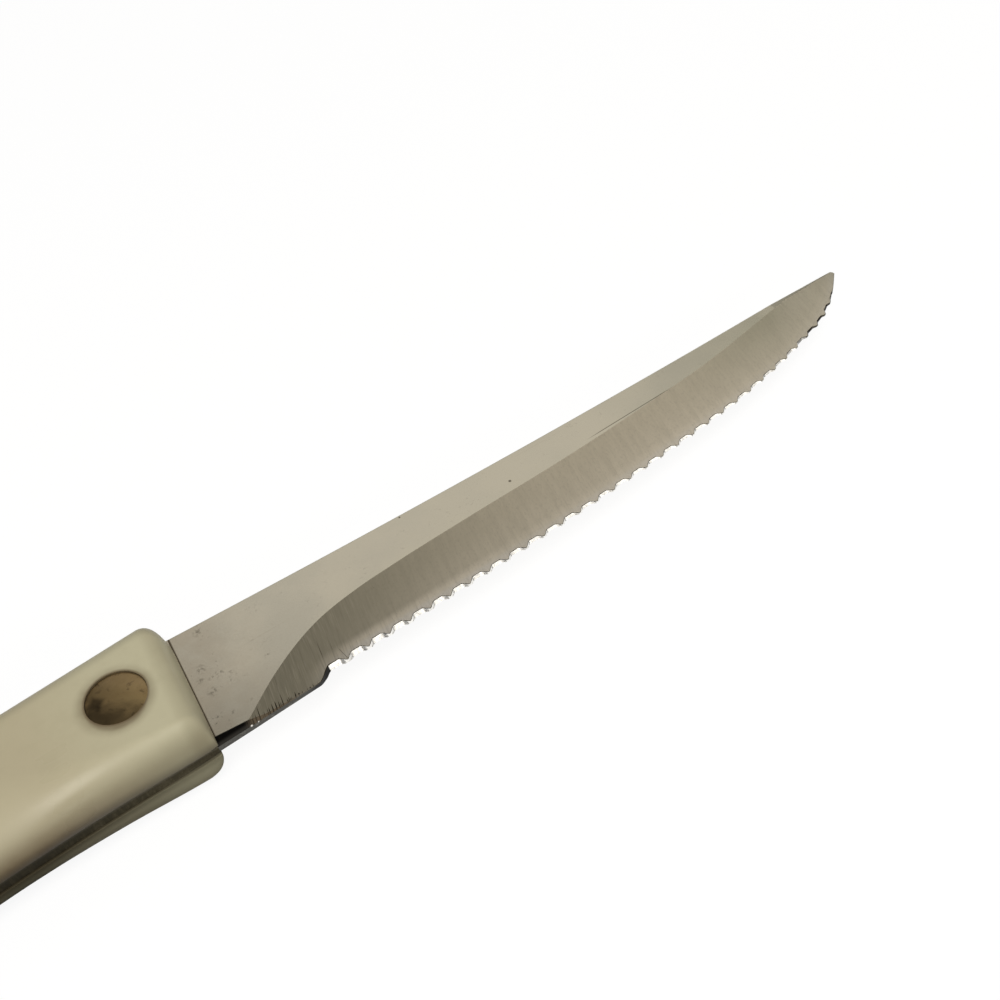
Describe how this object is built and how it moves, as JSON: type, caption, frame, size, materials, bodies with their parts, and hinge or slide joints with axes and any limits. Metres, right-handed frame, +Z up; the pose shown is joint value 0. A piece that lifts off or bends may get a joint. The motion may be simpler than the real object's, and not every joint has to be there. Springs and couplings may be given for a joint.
{
  "type": "trimming knife",
  "caption": "Kitchen trimming knife with a slim serrated steel blade on a full tang, held between two ivory plastic handle scales by flush round rivets.",
  "frame": {"origin": "on the flat outer face of the lower scale, midway between the front and middle rivets", "axes": "+X along the knife to the tip, +Y to the spine, +Z up through the handle's thickness"},
  "size_m": [0.2406, 0.028, 0.0133],
  "materials": {
    "blade_steel": "satin, with a polished flat",
    "handle_ivory": "gloss",
    "rivet_brass": "tarnished"
  },
  "bodies": {
    "root": {"blade": "blade_steel", "upper_scale": "handle_ivory", "lower_scale": "handle_ivory", "front_rivet_post": "rivet_brass", "front_rivet_sleeve": "rivet_brass", "middle_rivet_post": "rivet_brass", "middle_rivet_sleeve": "rivet_brass", "rear_rivet_post": "rivet_brass", "rear_rivet_sleeve": "rivet_brass"}
  },
  "joints": []
}
